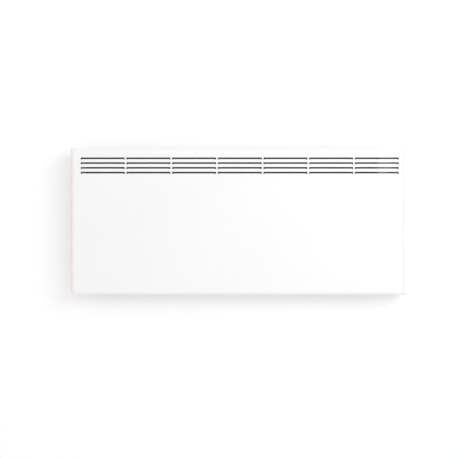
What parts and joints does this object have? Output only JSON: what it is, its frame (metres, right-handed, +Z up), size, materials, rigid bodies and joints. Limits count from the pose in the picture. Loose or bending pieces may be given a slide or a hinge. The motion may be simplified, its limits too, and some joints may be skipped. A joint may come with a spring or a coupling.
{
  "type": "wall panel convector heater",
  "caption": "Slim wall-hung panel convector with a louvred folded steel front, moulded end caps, finned element and a bracket it tips forward on.",
  "frame": {"origin": "on the wall plane, at the middle of the back of the bracket's cross rail, at mid-height of the casing", "axes": "+X along the width to the right seen from the front, +Y into the wall, +Z up; the front faces -Y"},
  "size_m": [0.925, 0.0854, 0.4028],
  "materials": {
    "white_paint": "white powder coat, fine satin texture",
    "white_plastic": "moulded white plastic, satin",
    "fascia_plastic": "moulded light plastic, matt",
    "dark_plastic": "moulded black plastic, matt",
    "grey_plastic": "moulded grey plastic",
    "aluminium": "mill-finish extruded aluminium",
    "ceramic": "unglazed steatite",
    "rubber": "black rubber",
    "board": "green board",
    "lens": "clear red plastic",
    "lead_sleeve": "glass-fibre sleeve",
    "rod_steel": "heat-tinted stainless steel",
    "fastener_steel": "zinc-plated steel",
    "zinc_steel": "galvanised sheet steel"
  },
  "bodies": {
    "wall_bracket": {"bracket_upright_left": "zinc_steel", "bracket_rivet_left_1": "fastener_steel", "bracket_rivet_left_2": "fastener_steel", "bracket_upright_right": "zinc_steel", "bracket_rivet_right_1": "fastener_steel", "bracket_rivet_right_2": "fastener_steel", "bracket_cross_rail": "zinc_steel"},
    "heater": {"front_panel": "white_paint", "rear_panel": "zinc_steel", "left_end_cap": "white_plastic", "right_end_cap": "white_plastic", "left_gable": "zinc_steel", "right_gable": "zinc_steel", "control_partition": "zinc_steel", "heat_shield": "zinc_steel", "air_guide": "zinc_steel", "rear_screw_1": "fastener_steel", "rear_screw_2": "fastener_steel", "rear_screw_3": "fastener_steel", "rear_screw_4": "fastener_steel", "rear_screw_5": "fastener_steel", "rear_screw_6": "fastener_steel", "rear_screw_7": "fastener_steel", "rear_screw_8": "fastener_steel", "gable_screw_1": "fastener_steel", "gable_screw_2": "fastener_steel", "guide_screw_1": "fastener_steel", "guide_screw_2": "fastener_steel", "left_cap_screw_upper": "fastener_steel", "left_cap_screw_lower": "fastener_steel", "wall_buffer_left": "rubber", "right_cap_screw_upper": "fastener_steel", "right_cap_screw_lower": "fastener_steel", "wall_buffer_right": "rubber", "heating_element": "aluminium", "element_rod": "rod_steel", "element_bush_left": "ceramic", "element_bush_right": "ceramic", "control_housing": "fascia_plastic", "control_cover": "grey_plastic", "control_board": "board", "potentiometer": "grey_plastic", "power_switch_body": "dark_plastic", "indicator_lens": "lens", "cutout_clip": "zinc_steel", "overheat_cutout": "dark_plastic", "terminal_block": "ceramic", "cable_gland": "rubber", "sensor_clip": "zinc_steel", "air_sensor": "dark_plastic", "element_lead": "lead_sleeve", "supply_lead": "lead_sleeve", "cutout_lead": "lead_sleeve", "sensor_lead": "lead_sleeve"},
    "lock_left": {"lock_left": "dark_plastic"},
    "lock_right": {"lock_right": "dark_plastic"},
    "thermostat_dial": {"thermostat_dial": "white_plastic", "thermostat_spindle": "grey_plastic"},
    "power_rocker": {"power_rocker": "dark_plastic"}
  },
  "joints": [
    {"name": "heater_tilt", "type": "hinge", "parent": "wall_bracket", "child": "heater", "pos_m": [0, -0.0265, -0.16], "axis": [1, 0, 0], "range_deg": [0, 30]},
    {"name": "lock_left_slide", "type": "slide", "parent": "wall_bracket", "child": "lock_left", "axis": [0, 0, -1], "range_m": [0, 0.008]},
    {"name": "lock_right_slide", "type": "slide", "parent": "wall_bracket", "child": "lock_right", "axis": [0, 0, -1], "range_m": [0, 0.008]},
    {"name": "dial_turn", "type": "hinge", "parent": "heater", "child": "thermostat_dial", "pos_m": [0.452, -0.051, 0.112], "axis": [-1, 0, 0], "range_deg": [0, 270]},
    {"name": "rocker_tilt", "type": "hinge", "parent": "heater", "child": "power_rocker", "pos_m": [0.452, -0.051, 0.072], "axis": [0, 1, 0], "range_deg": [0, 16]}
  ]
}
